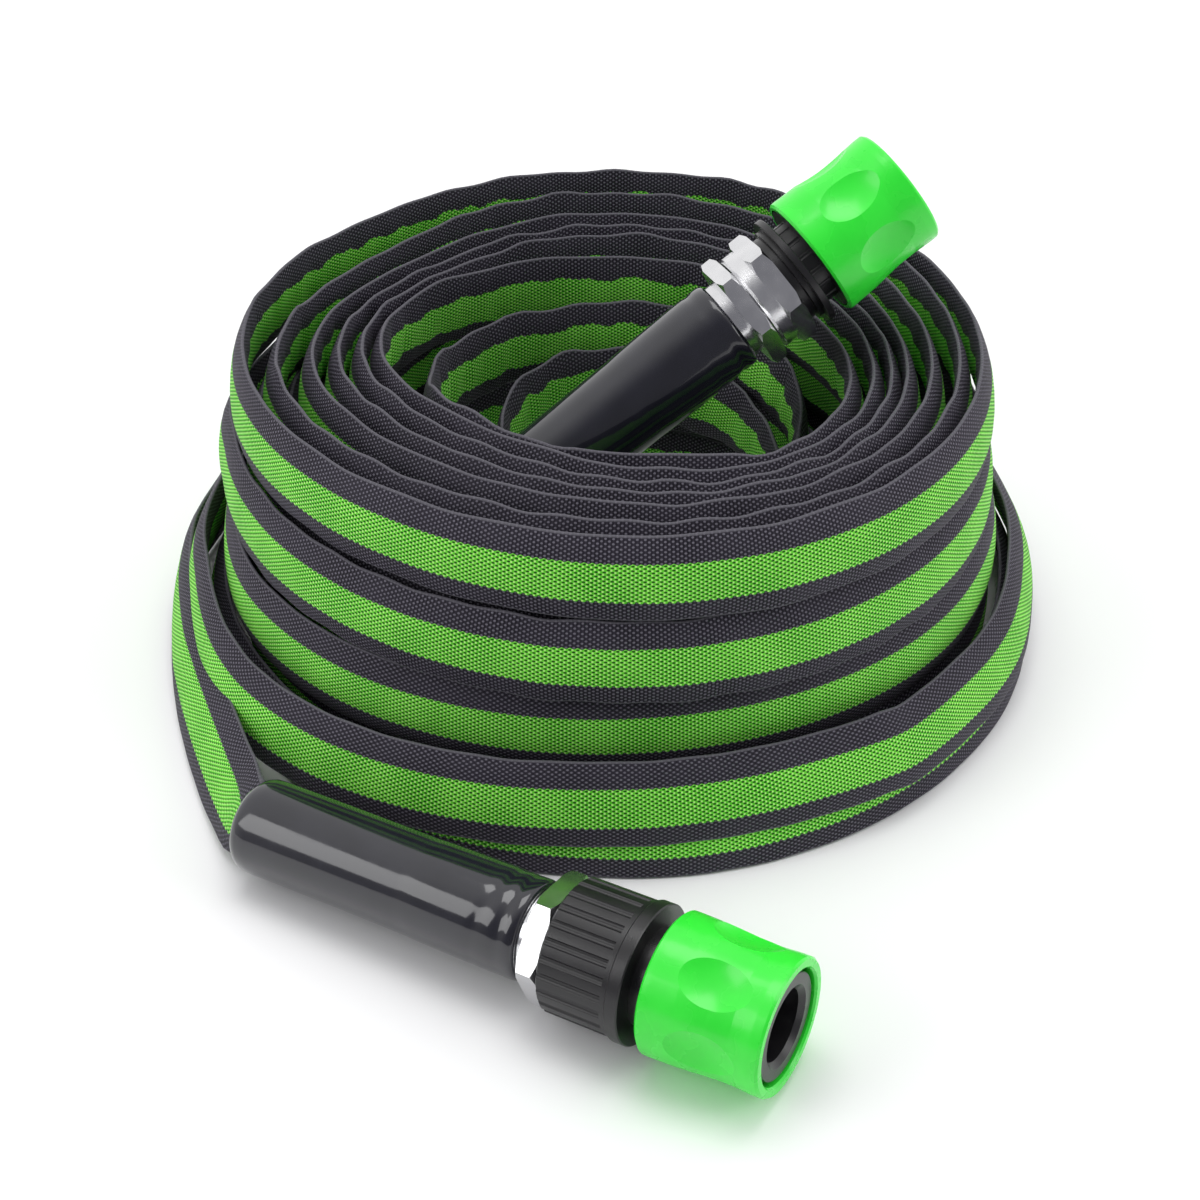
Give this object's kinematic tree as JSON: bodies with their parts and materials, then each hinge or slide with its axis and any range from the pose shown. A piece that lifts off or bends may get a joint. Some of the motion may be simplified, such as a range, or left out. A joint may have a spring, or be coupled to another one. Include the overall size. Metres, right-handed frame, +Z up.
{
  "type": "soaker hose",
  "caption": "Coiled flat garden hose in a woven jacket, wound on edge in stacked layers, with a sleeve-lock click connector on each end.",
  "frame": {"origin": "middle of the whole object's plan box, on the floor it stands on", "axes": "+Z up, out of the coil's hollow; +Y away from the end that lies on the floor in front; +X towards the end that leans over the rim"},
  "size_m": [0.261, 0.3402, 0.1466],
  "materials": {
    "jacket": "woven polyester, matt",
    "green_plastic": "smooth, bright green",
    "black_plastic": "smooth black",
    "cuff_black": "glossy black tube",
    "steel": "bright plated",
    "rubber": "matt black",
    "liner": "milky grey inner tube",
    "claw_grey": "light grey"
  },
  "bodies": {
    "hose": {"coil_top": "jacket", "coil_upper": "jacket", "coil_lower": "jacket", "coil_base": "jacket", "hose_lead_a": "jacket", "hose_lead_b": "jacket", "jacket_end_a": "jacket", "jacket_end_b": "jacket", "liner_a": "liner", "liner_b": "liner", "ferrule_a": "steel", "ferrule_b": "steel", "cuff_a": "cuff_black", "cuff_b": "cuff_black", "tail_a": "steel", "tail_b": "steel", "washer_b": "rubber"},
    "thread_washer_a": {"washer_a": "rubber"},
    "connector_a": {"body_a": "black_plastic", "socket_a": "black_plastic", "spring_a": "steel"},
    "sleeve_a": {"sleeve_a": "green_plastic"},
    "swivel_nut_b": {"nut_b": "steel"},
    "connector_b": {"body_b": "black_plastic", "socket_b": "black_plastic", "spring_b": "steel"},
    "sleeve_b": {"sleeve_b": "green_plastic"},
    "claw_a1": {"claw_a1": "claw_grey"},
    "claw_a2": {"claw_a2": "claw_grey"},
    "claw_a3": {"claw_a3": "claw_grey"},
    "claw_b1": {"claw_b1": "claw_grey"},
    "claw_b2": {"claw_b2": "claw_grey"},
    "claw_b3": {"claw_b3": "claw_grey"}
  },
  "joints": [
    {"name": "screw_turn_a", "type": "hinge", "parent": "thread_washer_a", "child": "connector_a", "pos_m": [0.00162, -0.13316, 0.01742], "axis": [0.8653, -0.4996, 0.0419], "range_deg": [0, 1440]},
    {"name": "screw_lift_a", "type": "slide", "parent": "hose", "child": "thread_washer_a", "axis": [0.8653, -0.4996, 0.0419], "range_m": [0, 0.00725]},
    {"name": "nut_turn_b", "type": "hinge", "parent": "hose", "child": "swivel_nut_b", "pos_m": [0.04363, 0.02745, 0.10865], "axis": [0.7806, 0.3314, 0.5299], "range_deg": [-720, 0]},
    {"name": "connector_lift_b", "type": "slide", "parent": "hose", "child": "connector_b", "axis": [0.7806, 0.3314, 0.5299], "range_m": [0, 0.0036]},
    {"name": "sleeve_slide_a", "type": "slide", "parent": "connector_a", "child": "sleeve_a", "axis": [-0.8653, 0.4996, -0.0419], "range_m": [0, 0.0042], "stiffness_N_per_m": 900, "springref_m": -0.004, "deforming": ["spring_a"]},
    {"name": "claw_slide_a1", "type": "slide", "parent": "connector_a", "child": "claw_a1", "axis": [0.0363, -0.0209, -0.9991], "range_m": [0, 0.0009]},
    {"name": "claw_slide_a2", "type": "slide", "parent": "connector_a", "child": "claw_a2", "axis": [0.4149, 0.7605, 0.4996], "range_m": [0, 0.0009]},
    {"name": "claw_slide_a3", "type": "slide", "parent": "connector_a", "child": "claw_a3", "axis": [-0.4511, -0.7395, 0.4996], "range_m": [0, 0.0009]},
    {"name": "sleeve_slide_b", "type": "slide", "parent": "connector_b", "child": "sleeve_b", "axis": [-0.7806, -0.3314, -0.5299], "range_m": [0, 0.0042], "stiffness_N_per_m": 900, "springref_m": -0.004, "deforming": ["spring_b"]},
    {"name": "claw_slide_b1", "type": "slide", "parent": "connector_b", "child": "claw_b1", "axis": [0.4878, 0.2071, -0.848], "range_m": [0, 0.0009]},
    {"name": "claw_slide_b2", "type": "slide", "parent": "connector_b", "child": "claw_b2", "axis": [-0.5823, 0.6937, 0.424], "range_m": [0, 0.0009]},
    {"name": "claw_slide_b3", "type": "slide", "parent": "connector_b", "child": "claw_b3", "axis": [0.0945, -0.9007, 0.424], "range_m": [0, 0.0009]}
  ],
  "couplings": [
    {"joint": "screw_turn_a", "follows": "screw_lift_a", "rad_per_m": 3463.7},
    {"joint": "nut_turn_b", "follows": "connector_lift_b", "rad_per_m": -3463.7},
    {"joint": "claw_slide_a1", "follows": "sleeve_slide_a", "ratio": 0.2138},
    {"joint": "claw_slide_a2", "follows": "sleeve_slide_a", "ratio": 0.2138},
    {"joint": "claw_slide_a3", "follows": "sleeve_slide_a", "ratio": 0.2138},
    {"joint": "claw_slide_b1", "follows": "sleeve_slide_b", "ratio": 0.2138},
    {"joint": "claw_slide_b2", "follows": "sleeve_slide_b", "ratio": 0.2138},
    {"joint": "claw_slide_b3", "follows": "sleeve_slide_b", "ratio": 0.2138}
  ]
}
